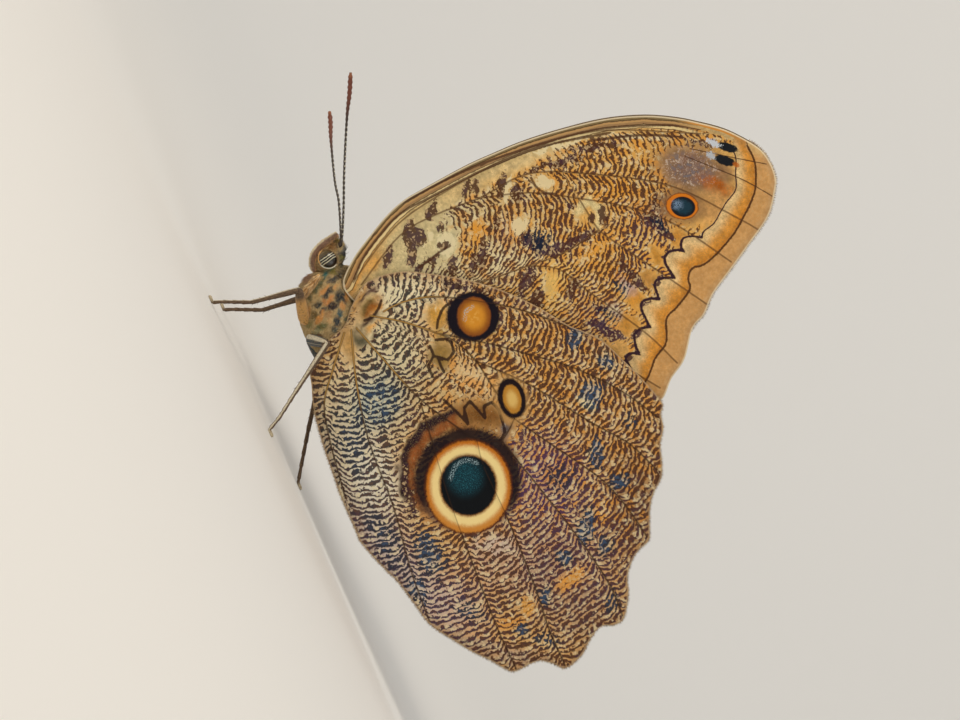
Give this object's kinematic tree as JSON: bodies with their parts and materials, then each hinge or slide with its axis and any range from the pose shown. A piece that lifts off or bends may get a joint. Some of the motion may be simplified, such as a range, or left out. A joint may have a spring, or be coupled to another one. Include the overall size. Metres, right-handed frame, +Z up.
{
  "type": "owl butterfly",
  "caption": "Life-size owl butterfly standing with its wings closed upright, eyespots on the undersides, clubbed feelers and slender legs.",
  "frame": {"origin": "on the floor, under the middle of the whole butterfly's length and width", "axes": "+X from the head towards the tail, +Y towards the butterfly's right side, +Z up towards the wing tips"},
  "size_m": [0.1043, 0.0252, 0.0941],
  "materials": {
    "thorax_fur": "dense short fur, olive tan with slate blotches",
    "head_fur": "short brown fur",
    "abdomen_fur": "short pale tan fur",
    "eye_lens": "glossy facetted lens, banded brown and cream",
    "palp_scales": "brown scales with a pale edge",
    "antenna_cuticle": "reddish brown, ringed",
    "leg_cuticle": "grey brown scales over satin cuticle",
    "wing_scales": "matt scales, banded and rippled brown on cream",
    "hindwing_scales": "matt scales, rippled, with ringed eyespots"
  },
  "bodies": {
    "root": {"thorax": "thorax_fur", "head": "head_fur", "abdomen": "abdomen_fur", "eye_left": "eye_lens", "eye_right": "eye_lens", "palp_left": "palp_scales", "palp_right": "palp_scales", "antenna_left": "antenna_cuticle", "antenna_right": "antenna_cuticle", "foreleg_left": "leg_cuticle", "foreleg_right": "leg_cuticle", "midleg_left": "leg_cuticle", "midleg_right": "leg_cuticle", "hindleg_left": "leg_cuticle", "hindleg_right": "leg_cuticle", "forewing_left": "wing_scales", "forewing_right": "wing_scales", "hindwing_left": "hindwing_scales", "hindwing_right": "hindwing_scales"}
  },
  "joints": []
}
